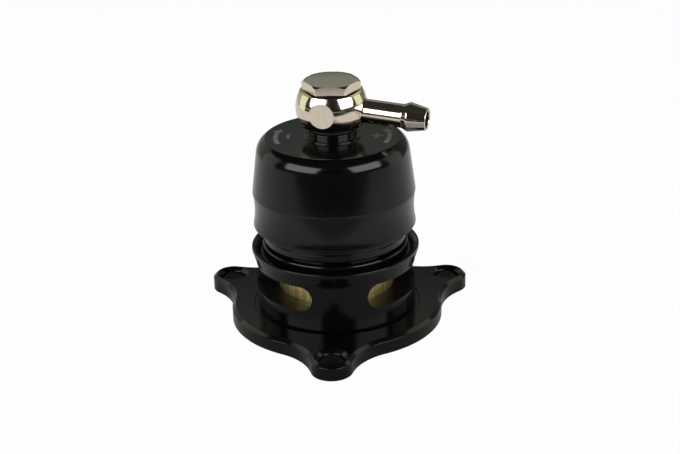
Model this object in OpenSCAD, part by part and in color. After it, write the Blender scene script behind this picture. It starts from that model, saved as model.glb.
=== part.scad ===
// Vent-to-atmosphere blow off valve: a lugged flange carries a slotted body with a sprung brass piston,
// a screw-on cap and a banjo fitting for the vacuum hose.
// Millimetres, +Z up, origin at the centre of the flange's underside, one lug at -Y.

/* [Flange] */
// Thickness of the flange plate
flange_t = 4.5; // [3.8:0.1:8]
// Diameter of the round middle of the flange
disc_d = 57.4; // [55:0.2:62]
// Diameter of the circle through the bolt holes
bolt_circle_d = 70; // [67:0.5:80]
// Diameter of a lug
lug_d = 11; // [10:0.1:14]
// Radius of the hollow curve that blends a lug into the middle
lug_blend_r = 17; // [6:0.5:22]
// Diameter of a bolt hole
bolt_hole_d = 6.6; // [5:0.1:7.4]
// Width of the chamfer at the mouth of a bolt hole
bolt_chamfer = 1; // [0.3:0.1:1.2]
// Width of the chamfer along the upper edge of the flange
edge_chamfer = 0.9; // [0.3:0.1:1.4]
// Depth of the turned recess that the body stands in
recess_depth = 0.3; // [0.1:0.05:0.8]
// Width of the recess that shows around the foot of the body
recess_margin = 0.95; // [0.3:0.05:2]
// Mean diameter of the face seal in the underside
base_seal_d = 46; // [43:0.5:52]
// Thickness of the face seal
base_seal_cs = 2; // [1.5:0.1:2.4]

/* [Valve body] */
// Diameter of the inlet port
port_d = 25; // [20:0.5:26]
// Diameter of the spigot that screws into the flange
spigot_d = 35; // [32:0.2:38]
// Clearance between the spigot and the flange, on the radius
spigot_clear = 0.05; // [0.02:0.01:0.2]
// Height of the spigot's end above the flange's underside
spigot_rise = 0.2; // [0.1:0.05:0.6]
// Height of the straight wall of the drum
drum_h = 13.1; // [12.6:0.1:16]
// Chamfer at the foot of the drum
foot_chamfer = 0.35; // [0.1:0.05:0.8]
// Overhang of the flared lip past the drum
flare_w = 1.05; // [0.4:0.05:2]
// Height of the flare between the drum and the lip
flare_h = 3.1; // [1.5:0.1:5]
// Height of the upright edge of the lip
lip_land = 0.75; // [0.4:0.05:1.5]
// Width of the flat top of the lip
lip_rim = 0.55; // [0.3:0.05:1]
// Width of the channel between the lip and the shoulder
channel_w = 2.35; // [1.6:0.05:4]
// Depth of the channel between the lip and the shoulder
channel_depth = 1.6; // [0.5:0.1:2.5]
// Width of the shoulder around the neck, below the cap
shoulder_w = 1.7; // [1.2:0.05:3]
// Height of the shoulder above the lip
shoulder_rise = 1.45; // [0.5:0.05:3]
// Diameter of the threaded neck inside the cap
neck_d = 36; // [32:0.1:41]
// Wall of the neck around the piston
neck_wall = 2.45; // [2:0.05:4]
// Length of neck left above the guide band of the lifted piston
neck_spare = 0.85; // [0.5:0.05:2]
// Height of the valve seat above the foot of the drum
seat_rise = 1.8; // [0.5:0.1:2.5]

/* [Vents] */
// Width of the web between two vent slots, in degrees
vent_web = 40; // [25:1:60]
// Turn of the webs from the lugs, in degrees
vent_turn = 5; // [-30:0.5:30]
// Height of a vent slot
vent_h = 6.8; // [4:0.1:7]
// Height of the lower edge of the slots above the foot of the drum
vent_rise = 5.9; // [5.2:0.1:6.5]

/* [Piston] */
// Running clearance between the piston and its bore, on the radius
piston_clear = 0.05; // [0.02:0.01:0.1]
// Length of the piston above the valve seat
piston_h = 20; // [19.6:0.1:22]
// Thickness of the floor of the piston
piston_floor = 3.4; // [2.4:0.1:5]
// Wall of the piston
piston_wall = 2.6; // [2.2:0.1:4]
// Lift of the piston from closed to fully open
piston_lift = 10.5; // [6:0.1:11]
// Width of the seal ring under the edge of the piston
seat_seal_w = 2.1; // [1.2:0.1:2.4]
// Thickness of the seal ring under the edge of the piston
seat_seal_t = 1.5; // [1:0.1:2]
// Thickness of the sliding seal and of the other round seals
ring_cs = 1.5; // [1.2:0.1:1.6]
// Height of the sliding seal above the valve seat
piston_seal_rise = 13.6; // [13:0.1:14.5]
// Height of the guide band
guide_h = 2.5; // [1.5:0.1:3]
// Thickness of the guide band
guide_t = 1; // [0.6:0.1:1.4]
// Gap between the sliding seal and the guide band
guide_gap = 1.4; // [1:0.1:2]

/* [Spring] */
// Diameter of the spring wire
spring_wire_d = 1.8; // [1:0.1:2.4]
// Gap between the spring and the wall of the piston
spring_side_gap = 1.75; // [0.5:0.05:4]
// Number of working coils
spring_turns = 6; // [4:0.5:8]
// Gap between the closed coils at the ends
coil_gap = 0.18; // [0.1:0.02:0.4]
// Thickness of the loose seat above the spring
spring_seat_t = 1.2; // [0.8:0.1:2]
// Height of the rim that centres the spring on its seat
spring_seat_rim = 1.4; // [0.8:0.1:2.5]

/* [Cap] */
// Gap between the cap and the shoulder of the body
cap_gap = 0.8; // [0.4:0.1:3]
// Wall of the cap at its lower edge
skirt_wall = 1.4; // [1:0.05:2.5]
// Height of the upright skirt below the lower ridge
skirt_h = 4.1; // [1.5:0.1:6]
// Wall of the cap at the two grip ridges
ridge_wall = 3.75; // [2.6:0.05:5]
// Height of the broken edge between the skirt and the lower ridge
ridge_round = 0.3; // [0.2:0.1:1.5]
// Inset of that edge from the ridge
ridge_inset = 0.23; // [0.1:0.01:0.5]
// Distance between the two ridges
ridge_gap = 9.15; // [6:0.05:12]
// Depth of the hollow between the ridges
waist_depth = 0.5; // [0.1:0.05:0.8]
// Height of the cap from its lower edge to its top face
cap_h = 28.35; // [27:0.05:32]
// Taper of the side above the upper ridge, in degrees
cap_taper = 7.3; // [2:0.1:9]
// Radius of the rounded shoulder of the cap
cap_round = 4.7; // [3:0.1:6]
// Slope at which the shoulder meets the top face, in degrees
cap_round_end = 62; // [45:1:85]
// Thickness of the roof of the cap
roof_t = 4.2; // [3:0.1:5]
// Clearance between the neck and the cap, on the radius
thread_clear = 0.1; // [0.05:0.01:0.3]

/* [Banjo] */
// Diameter of the boss on the cap
boss_d = 15; // [13.6:0.1:18]
// Height of the boss
boss_h = 1.35; // [0.6:0.05:3]
// Diameter of the step on the boss
boss_step_d = 13; // [12.2:0.1:13.4]
// Height of the step on the boss
boss_step_h = 0.8; // [0.3:0.05:2]
// Diameter of the sealing washers
washer_d = 12.6; // [12:0.1:13]
// Thickness of the lower sealing washer
lower_washer_t = 1.6; // [0.8:0.1:2.5]
// Thickness of the upper sealing washer
upper_washer_t = 0.4; // [0.3:0.05:1.5]
// Diameter of the ball of the banjo fitting
ball_d = 19; // [17:0.1:21]
// Height of the ball between its two sealing faces
ball_h = 9.2; // [8.6:0.1:11]
// Distance between the two flats on the sides of the ball
ball_flats = 17.8; // [16:0.1:18.8]
// Turn of the hose barb from +X, in degrees
barb_turn = -15.3; // [-180:0.1:180]
// Slope of the hose barb below the horizontal, in degrees
barb_droop = 3.6; // [0:0.1:8]
// Diameter of the shank of the hose barb
shank_d = 6.3; // [5:0.1:7]
// Distance from the bolt's axis to the start of the barb
shank_reach = 19.5; // [15:0.1:22]
// Largest diameter of the barb
barb_d = 7.8; // [6:0.1:9]
// Length of the slope behind the barb
barb_back = 1.6; // [0.5:0.1:3]
// Length of the taper from the barb to the tip
barb_taper = 4.9; // [3:0.1:8]
// Diameter of the tip
tip_d = 5.8; // [4.6:0.1:6.2]
// Diameter of the hole through the barb
hose_hole_d = 4.6; // [2:0.1:5]
// Diameter of the banjo bolt's thread
bolt_d = 10; // [9:0.1:10.6]
// Clearance around the banjo bolt, on the radius
bolt_clear = 0.1; // [0.05:0.01:0.3]
// Distance across the flats of the bolt's head
hex_flats = 13.6; // [12.4:0.1:15]
// Height of the bolt's head
hex_h = 2.3; // [1.5:0.1:5]
// Diameter of the round top of the bolt's head
hex_top_d = 13.4; // [11:0.1:13.5]
// Slope of the turned corners of the head, in degrees
hex_slope = 50; // [15:1:60]
// Diameter of the air hole up the middle of the bolt
bolt_hole_up_d = 4; // [2:0.1:4.6]
// Diameter of the holes across the bolt
cross_hole_d = 3; // [1.5:0.1:4]
// Depth of the waist turned into the bolt at its cross holes
bolt_waist = 1; // [0.4:0.1:1.4]
// Length of the waist
bolt_waist_h = 5; // [4.2:0.1:6]

/* [Hidden] */

$fn = 96;
LUGS = 3;
black = [0.10, 0.10, 0.11];
rubber = [0.05, 0.05, 0.05];
brass = [0.70, 0.58, 0.33];
nickel = [0.78, 0.75, 0.70];
steel = [0.62, 0.63, 0.65];

// Overshoot of a cutter past the face it opens
cut = 1;
// Bite that lets two nearly tangent curves cross cleanly
ease = 0.02;
// Gap that keeps a round seal clear of the walls around it
seal_gap = 0.03;
// Gap between the loose spring seat and the roof of the cap
loose_gap = 0.05;
// Chamfer on small turned edges
small_chamfer = 0.3;
// Spare width of a groove around its ring
groove_play = 0.2;

disc_r = disc_d / 2;
lug_r = lug_d / 2;
bolt_circle_r = bolt_circle_d / 2;
spigot_r = spigot_d / 2;
neck_r = neck_d / 2;
bore_r = neck_r - neck_wall;
piston_r = bore_r - piston_clear;
piston_inner_r = piston_r - piston_wall;
shoulder_r = neck_r + shoulder_w;
rim_r = shoulder_r + channel_w;
lip_r = rim_r + lip_rim;
drum_r = lip_r - flare_w;

foot_z = flange_t - recess_depth;
seat_z = foot_z + seat_rise;
vent_z = foot_z + vent_rise;
flare_z = foot_z + drum_h;
lip_z = flare_z + flare_h + lip_land;
shoulder_z = lip_z + shoulder_rise;
body_seal_z = (spigot_rise + foot_z) / 2;

cap_z = shoulder_z + cap_gap;
cap_bore_r = neck_r + thread_clear;
ridge_r = cap_bore_r + ridge_wall;
skirt_r = cap_bore_r + skirt_wall;
cap_top_z = cap_z + cap_h;
roof_z = cap_top_z - roof_t;

piston_top_z = seat_z + piston_h;
piston_floor_z = seat_z + piston_floor;
piston_seal_z = seat_z + piston_seal_rise;
guide_z = piston_seal_z + ring_cs / 2 + guide_gap;
neck_z = guide_z + guide_h + piston_lift + neck_spare;
cap_seal_z = neck_z - 2 * ring_cs;

spring_seat_z = roof_z - loose_gap - spring_seat_t;
spring_low_z = piston_floor_z + loose_gap;
spring_high_z = spring_seat_z - loose_gap;
coil_r = piston_inner_r - spring_side_gap - spring_wire_d / 2;

boss_z = cap_top_z + boss_h;
washer_z = boss_z + boss_step_h;
ball_low_z = washer_z + lower_washer_t;
ball_z = ball_low_z + ball_h / 2;
ball_high_z = ball_low_z + ball_h;
hex_z = ball_high_z + upper_washer_t;
bolt_r = bolt_d / 2;
bolt_hole_r = bolt_r + bolt_clear;

// Points of an arc about [x, y], from angle a to angle b
function arc(x, y, r, a, b, steps = 8) =
    [for (i = [0:steps]) let (t = a + (b - a) * i / steps) [x + r * cos(t), y + r * sin(t)]];

// Centre of the curve that blends a lug into the disc, for a lug on the +X axis
function blend_centre(side) =
    let (to_disc = disc_r + lug_blend_r - ease)
    let (to_lug = lug_r + lug_blend_r - ease)
    let (x = (to_disc * to_disc + bolt_circle_r * bolt_circle_r - to_lug * to_lug) / (2 * bolt_circle_r))
    [x, side * sqrt(to_disc * to_disc - x * x)];

module at_lugs() {
    for (i = [0:LUGS - 1]) {
        rotate(-90 + i * 360 / LUGS) children();
    }
}

// Round solid between two radii
module tube(outer_r, inner_r, h) {
    difference() {
        cylinder(r = outer_r, h = h);
        translate([0, 0, -cut]) cylinder(r = inner_r, h = h + 2 * cut);
    }
}

// Ring of round section, such as a rubber seal
module round_ring(mean_r, cs) {
    rotate_extrude() translate([mean_r, 0]) circle(d = cs);
}

// Groove of square section, for cutting
module groove(outer_r, inner_r, low, high) {
    translate([0, 0, low]) tube(outer_r, inner_r, high - low);
}

// One layer of the flange: its outline drawn in by the first inset below and by the second above
module flange_layer(h, inset_low, inset_high) {
    cylinder(r1 = disc_r - inset_low, r2 = disc_r - inset_high, h = h);
    at_lugs() {
        translate([bolt_circle_r, 0, 0]) cylinder(r1 = lug_r - inset_low, r2 = lug_r - inset_high, h = h);
        difference() {
            linear_extrude(h) polygon([[0, 0], blend_centre(-1), [bolt_circle_r, 0], blend_centre(1)]);
            for (side = [-1, 1]) {
                translate(blend_centre(side)) blend_cutter(h, inset_low, inset_high);
            }
        }
    }
}

module blend_cutter(h, inset_low, inset_high) {
    spread = (inset_high - inset_low) / h * cut;
    translate([0, 0, -cut])
        cylinder(r1 = lug_blend_r + inset_low - spread, r2 = lug_blend_r + inset_high + spread, h = h + 2 * cut);
}

// What the chamfer takes off along the upper edge of the flange
module edge_cutter() {
    translate([0, 0, flange_t - edge_chamfer - cut]) difference() {
        cylinder(r = bolt_circle_r + lug_d, h = edge_chamfer + 2 * cut);
        translate([0, 0, -cut]) flange_layer(edge_chamfer + 3 * cut, -2 * cut, edge_chamfer + cut);
    }
}

module bolt_hole_cutter() {
    translate([bolt_circle_r, 0, -cut]) cylinder(d = bolt_hole_d, h = flange_t + 2 * cut);
    translate([bolt_circle_r, 0, flange_t - bolt_chamfer])
        cylinder(d1 = bolt_hole_d, d2 = bolt_hole_d + 2 * (bolt_chamfer + cut), h = bolt_chamfer + cut);
}

module mounting_flange() {
    seal_depth = base_seal_cs + seal_gap;
    seal_half = (base_seal_cs + groove_play) / 2;
    color(black) difference() {
        flange_layer(flange_t, 0, 0);
        edge_cutter();
        translate([0, 0, -cut]) cylinder(r = spigot_r + spigot_clear, h = flange_t + 2 * cut);
        translate([0, 0, foot_z]) cylinder(r = drum_r + recess_margin, h = recess_depth + cut);
        groove(base_seal_d / 2 + seal_half, base_seal_d / 2 - seal_half, -cut, seal_depth);
        at_lugs() bolt_hole_cutter();
    }
}

module base_seal() {
    color(rubber) translate([0, 0, base_seal_cs / 2 + seal_gap / 2]) round_ring(base_seal_d / 2, base_seal_cs);
}

// Half section of the body, outside first and then down the bore
module body_section() {
    port_r = port_d / 2;
    channel_z = lip_z - channel_depth;
    polygon([
        [port_r + small_chamfer, spigot_rise],
        [spigot_r - small_chamfer, spigot_rise],
        [spigot_r, spigot_rise + small_chamfer],
        [spigot_r, foot_z],
        [drum_r - foot_chamfer, foot_z],
        [drum_r, foot_z + foot_chamfer],
        [drum_r, flare_z],
        [lip_r, lip_z - lip_land],
        [lip_r, lip_z],
        [rim_r, lip_z],
        [shoulder_r + lip_rim, channel_z],
        [shoulder_r, channel_z],
        [shoulder_r, shoulder_z - small_chamfer],
        [shoulder_r - small_chamfer, shoulder_z],
        [neck_r, shoulder_z],
        [neck_r, neck_z - small_chamfer],
        [neck_r - small_chamfer, neck_z],
        [bore_r + small_chamfer, neck_z],
        [bore_r, neck_z - small_chamfer],
        [bore_r, seat_z],
        [port_r, seat_z],
        [port_r, spigot_rise + small_chamfer]
    ]);
}

// One vent slot with full round ends, centred on the +X axis
module vent_cutter() {
    reach = lip_r + cut;
    half_slot = (360 / LUGS - vent_web) / 2;
    end_turn = half_slot - asin(vent_h / 2 / drum_r);
    rotate(-end_turn) rotate_extrude(angle = 2 * end_turn)
        translate([port_d / 2, ease / 2]) square([reach - port_d / 2, vent_h - ease]);
    for (side = [-1, 1]) {
        rotate(side * end_turn) translate([port_d / 2, 0, vent_h / 2]) rotate([0, 90, 0])
            cylinder(d = vent_h, h = reach - port_d / 2);
    }
}

module valve_body() {
    cap_seal_inner_r = cap_bore_r - ring_cs - 2 * seal_gap;
    body_seal_inner_r = spigot_r + spigot_clear - ring_cs - 2 * seal_gap;
    seal_half = (ring_cs + groove_play) / 2;
    color(black) difference() {
        rotate_extrude() body_section();
        groove(neck_r + cut, cap_seal_inner_r, cap_seal_z - seal_half, cap_seal_z + seal_half);
        groove(spigot_r + cut, body_seal_inner_r, body_seal_z - seal_half, body_seal_z + seal_half);
        translate([0, 0, vent_z]) at_lugs() rotate(180 / LUGS + vent_turn) vent_cutter();
    }
}

module body_seal() {
    color(rubber) translate([0, 0, body_seal_z])
        round_ring(spigot_r + spigot_clear - seal_gap - ring_cs / 2, ring_cs);
}

// Half section of the piston: a cup, open at the top, with a rebate for its seal ring below
module piston_section() {
    nose_r = piston_r - seat_seal_w - 2 * seal_gap;
    nose_z = seat_z + small_chamfer;
    step_z = seat_z + seat_seal_t;
    polygon([
        [0, nose_z],
        [nose_r, nose_z],
        [nose_r, step_z],
        [piston_r, step_z],
        [piston_r, piston_top_z - small_chamfer],
        [piston_r - small_chamfer, piston_top_z],
        [piston_inner_r, piston_top_z],
        [piston_inner_r, piston_floor_z],
        [0, piston_floor_z]
    ]);
}

module piston() {
    seal_inner_r = bore_r - ring_cs - 2 * seal_gap;
    guide_inner_r = bore_r - guide_t - 2 * seal_gap;
    seal_half = (ring_cs + groove_play) / 2;
    guide_half = groove_play / 2;
    color(brass) difference() {
        rotate_extrude() piston_section();
        groove(piston_r + cut, seal_inner_r, piston_seal_z - seal_half, piston_seal_z + seal_half);
        groove(piston_r + cut, guide_inner_r, guide_z - guide_half, guide_z + guide_h + guide_half);
    }
}

module piston_seal() {
    color(rubber) translate([0, 0, piston_seal_z]) round_ring(bore_r - seal_gap - ring_cs / 2, ring_cs);
}

module guide_ring() {
    color("ivory") translate([0, 0, guide_z])
        tube(bore_r - seal_gap, bore_r - seal_gap - guide_t, guide_h);
}

module seat_seal() {
    color(rubber) translate([0, 0, seat_z])
        tube(piston_r - seal_gap, piston_r - seal_gap - seat_seal_w, seat_seal_t);
}

// Height of the middle of the spring wire after a number of turns: closed coils at both ends
function spring_height(turn, total, rise) =
    let (closed = spring_wire_d + coil_gap)
    let (pitch = (rise - 2 * closed) / (total - 2))
    turn < 1 ? closed * turn : turn > total - 1 ? rise - closed * (total - turn) : closed + pitch * (turn - 1);

module spring() {
    sides = 8;
    steps = 24;
    total = spring_turns + 2;
    rings = total * steps;
    rise = spring_high_z - spring_low_z - spring_wire_d;
    middle_z = spring_low_z + spring_wire_d / 2;
    points = [
        for (i = [0:rings], k = [0:sides - 1])
            let (turn = i / steps, around = 360 * turn, across = 360 * k / sides)
            let (r = coil_r + spring_wire_d / 2 * cos(across))
            [r * cos(around), r * sin(around),
             middle_z + spring_height(turn, total, rise) + spring_wire_d / 2 * sin(across)]
    ];
    skin = [
        for (i = [0:rings - 1], k = [0:sides - 1])
            let (next = (k + 1) % sides)
            [i * sides + k, i * sides + next, (i + 1) * sides + next, (i + 1) * sides + k]
    ];
    first = [[for (k = [sides - 1:-1:0]) k]];
    last = [[for (k = [0:sides - 1]) rings * sides + k]];
    color(steel) polyhedron(points, concat(skin, first, last), convexity = 10);
}

module spring_seat() {
    spigot = coil_r - spring_wire_d / 2 - groove_play;
    color(steel) difference() {
        union() {
            translate([0, 0, spring_seat_z]) cylinder(r = coil_r + spring_wire_d, h = spring_seat_t);
            translate([0, 0, spring_seat_z - spring_seat_rim]) cylinder(r = spigot, h = spring_seat_rim);
        }
        translate([0, 0, spring_seat_z - spring_seat_rim - cut])
            cylinder(r = bolt_r, h = spring_seat_t + spring_seat_rim + 2 * cut);
    }
}

// Outer half section of the cap, up from its lower edge
module cap_section() {
    low_ridge_z = cap_z + skirt_h + ridge_round;
    high_ridge_z = low_ridge_z + ridge_gap;
    waist_r = (ridge_gap * ridge_gap / 4 + waist_depth * waist_depth) / (2 * waist_depth);
    waist_turn = asin(ridge_gap / 2 / waist_r);
    waist_x = ridge_r - waist_depth + waist_r;
    waist_z = (low_ridge_z + high_ridge_z) / 2;
    round_z = cap_top_z - cap_round * sin(cap_round_end);
    round_x = ridge_r - (round_z - high_ridge_z) * tan(cap_taper) - cap_round / cos(cap_taper);
    polygon(concat(
        [
            [0, cap_z],
            [skirt_r - small_chamfer, cap_z],
            [skirt_r, cap_z + small_chamfer],
            [skirt_r, cap_z + skirt_h],
            [ridge_r - ridge_inset, cap_z + skirt_h]
        ],
        arc(waist_x, waist_z, waist_r, 180 + waist_turn, 180 - waist_turn),
        arc(round_x, round_z, cap_round, cap_taper, cap_round_end),
        [[0, cap_top_z]]
    ));
}

module cap() {
    boss_edge = boss_d / 2;
    step_edge = boss_step_d / 2;
    color(black) difference() {
        union() {
            rotate_extrude() cap_section();
            rotate_extrude() polygon([
                [0, roof_z],
                [boss_edge, roof_z],
                [boss_edge, boss_z - small_chamfer],
                [boss_edge - small_chamfer, boss_z],
                [step_edge, boss_z],
                [step_edge, washer_z - small_chamfer],
                [step_edge - small_chamfer, washer_z],
                [0, washer_z]
            ]);
        }
        translate([0, 0, cap_z - cut]) cylinder(r = cap_bore_r, h = roof_z - cap_z + cut);
        translate([0, 0, roof_z - cut]) cylinder(r = bolt_hole_r, h = washer_z - roof_z + 2 * cut);
    }
}

module cap_seal() {
    color(rubber) translate([0, 0, cap_seal_z]) round_ring(cap_bore_r - seal_gap - ring_cs / 2, ring_cs);
}

// Sealing washer with a chamfered outer edge
module sealing_washer(h) {
    chamfer = min(small_chamfer, h / 4);
    rotate_extrude() polygon([
        [bolt_hole_r, 0],
        [washer_d / 2 - chamfer, 0],
        [washer_d / 2, chamfer],
        [washer_d / 2, h - chamfer],
        [washer_d / 2 - chamfer, h],
        [bolt_hole_r, h]
    ]);
}

module lower_washer() {
    color(rubber) translate([0, 0, washer_z]) sealing_washer(lower_washer_t);
}

module upper_washer() {
    color(rubber) translate([0, 0, ball_high_z]) sealing_washer(upper_washer_t);
}

// Half section of the shank and barb along the hose's axis
module barb_section() {
    ridge_x = shank_reach + barb_back;
    tip_x = ridge_x + barb_taper;
    polygon([
        [0, 0],
        [shank_d / 2, 0],
        [shank_d / 2, shank_reach],
        [barb_d / 2, ridge_x],
        [tip_d / 2, tip_x],
        [0, tip_x]
    ]);
}

module banjo_fitting() {
    reach = shank_reach + barb_back + barb_taper;
    color(nickel) translate([0, 0, ball_z]) rotate(barb_turn) difference() {
        union() {
            intersection() {
                sphere(d = ball_d);
                cube([2 * ball_d, ball_flats, ball_h], center = true);
            }
            rotate([0, 90 + barb_droop, 0]) rotate_extrude() barb_section();
        }
        translate([0, 0, -ball_d]) cylinder(r = bolt_hole_r, h = 2 * ball_d);
        rotate([0, 90 + barb_droop, 0]) cylinder(d = hose_hole_d, h = reach + cut);
    }
}

// Hexagonal head with its corners turned off at the top, flats facing -Y and +Y
module hex_head() {
    corner_d = hex_flats / cos(30);
    intersection() {
        cylinder(d = corner_d, h = hex_h, $fn = 6);
        cylinder(r1 = hex_top_d / 2 + hex_h / tan(hex_slope), r2 = hex_top_d / 2, h = hex_h);
    }
}

module banjo_bolt() {
    waist_z = ball_z - bolt_waist_h / 2;
    color(nickel) difference() {
        union() {
            translate([0, 0, hex_z]) hex_head();
            translate([0, 0, roof_z]) cylinder(r = bolt_r, h = hex_z - roof_z);
        }
        groove(bolt_r + cut, bolt_r - bolt_waist, waist_z, waist_z + bolt_waist_h);
        translate([0, 0, roof_z - cut]) cylinder(d = bolt_hole_up_d, h = ball_z - roof_z + cross_hole_d / 2 + cut);
        for (turn = [0, 90]) {
            translate([0, 0, ball_z]) rotate([90, 0, turn]) cylinder(d = cross_hole_d, h = bolt_d, center = true);
        }
    }
}

mounting_flange();
base_seal();
valve_body();
body_seal();
piston();
piston_seal();
guide_ring();
seat_seal();
spring();
spring_seat();
cap();
cap_seal();
lower_washer();
banjo_fitting();
upper_washer();
banjo_bolt();
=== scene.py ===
"""Looks of a vent-to-atmosphere blow off valve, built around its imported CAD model.

Every sub-assembly is a class that holds its sizes in millimetres and models and dresses its own meshes.
Meshes are drawn in millimetres in the part's frame and are brought to metres when they are finished.
"""

import logging
import math
from collections.abc import Callable, Iterator, Sequence
from contextlib import contextmanager
from dataclasses import dataclass
from enum import Enum
from itertools import pairwise

import bmesh
import bpy
from bpy.types import Material, Node, NodeSocket, NodeTree, Object
from mathutils import Euler, Matrix, Vector


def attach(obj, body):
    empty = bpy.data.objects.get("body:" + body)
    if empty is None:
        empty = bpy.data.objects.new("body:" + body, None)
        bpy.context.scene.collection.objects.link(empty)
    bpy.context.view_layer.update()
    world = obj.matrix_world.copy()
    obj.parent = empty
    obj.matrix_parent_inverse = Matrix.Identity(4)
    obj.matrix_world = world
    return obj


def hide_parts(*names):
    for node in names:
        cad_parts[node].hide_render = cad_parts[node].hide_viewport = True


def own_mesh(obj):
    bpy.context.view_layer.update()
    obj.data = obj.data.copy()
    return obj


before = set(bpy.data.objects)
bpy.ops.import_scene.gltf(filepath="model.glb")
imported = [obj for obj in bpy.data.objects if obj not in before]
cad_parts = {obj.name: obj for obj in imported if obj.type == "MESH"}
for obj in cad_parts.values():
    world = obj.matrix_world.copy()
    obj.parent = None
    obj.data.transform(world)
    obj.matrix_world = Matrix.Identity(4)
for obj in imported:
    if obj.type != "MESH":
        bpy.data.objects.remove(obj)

log = logging.getLogger("blow_off_valve")

# Metres in a millimetre
MM = 0.001
# Steps of a full turn on the larger turned pieces
STEPS = 144
# Distance in millimetres below which two points are one
WELD = 1e-4
# Length in millimetres of the edges that joinery leaves by chance and that are taken out
SLIVER = 7e-4
# Distance in millimetres that a cutter stands past the face it opens
PAST = 1.0
# Angle from which the edge between two faces counts as sharp
SHARP = math.radians(32.0)
# Share of an edge that the rounding of one of its corners may take
ROUND_SHARE = 0.45
# Least upright part of the normal of a face that counts as level
LEVEL = 0.9
UP = Vector((0.0, 0.0, 1.0))
ASIDE = Vector((1.0, 0.0, 0.0))
WHITE = (1.0, 1.0, 1.0, 1.0)

# A corner of a turned section: radius, height and how far its edge is softened, in millimetres
Corner = tuple[float, float, float]
# A groove in a turned outside: radius of its floor, lower and upper height
Groove = tuple[float, float, float]
Colour = tuple[float, float, float]
Pair = tuple[float, float]


class Rides(Enum):
    """CAD body that a piece moves with."""

    BODY = "body"
    PISTON = "piston"
    SPRING_SEAT = "spring_seat"
    CAP = "cap"
    BANJO = "banjo"


class Joinery(Enum):
    """How one solid acts on another."""

    CUT = "DIFFERENCE"
    WELD = "UNION"
    KEEP = "INTERSECT"


class Grain(Enum):
    """Direction of the fine marks that the making of a piece leaves on it."""

    TURNED = "rings about the upright axis"
    UPRIGHT = "lines along the upright axis"
    EVEN = "no direction"


def fill(tree: NodeTree, node: Node, inputs: dict[str | int, object]) -> None:
    """Fills inputs of a shader node.

    Args:
        tree: Node tree that holds the node.
        node: The node.
        inputs: What goes into each input: a socket is linked to it, a value is set on it.
    """
    for key, value in inputs.items():
        if isinstance(value, NodeSocket):
            tree.links.new(value, node.inputs[key])
        else:
            node.inputs[key].default_value = value


def add_node(tree: NodeTree, kind: str, inputs: dict[str | int, object], operation: str | None = None) -> Node:
    """Adds a shader node.

    Args:
        tree: Node tree that it goes into.
        kind: Blender's name for its kind.
        inputs: What goes into its inputs.
        operation: What it works out, if it is a node for sums.

    Returns:
        The node.
    """
    node = tree.nodes.new(kind)
    if operation is not None:
        node.operation = operation
    fill(tree, node, inputs)
    return node


def bare_material(name: str) -> Material:
    """Makes a node material with nothing in it but its output.

    Args:
        name: Name of the material.

    Returns:
        The material.
    """
    made = bpy.data.materials.new(name)
    made.use_nodes = True
    made.node_tree.nodes.remove(made.node_tree.nodes["Principled BSDF"])
    return made


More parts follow.
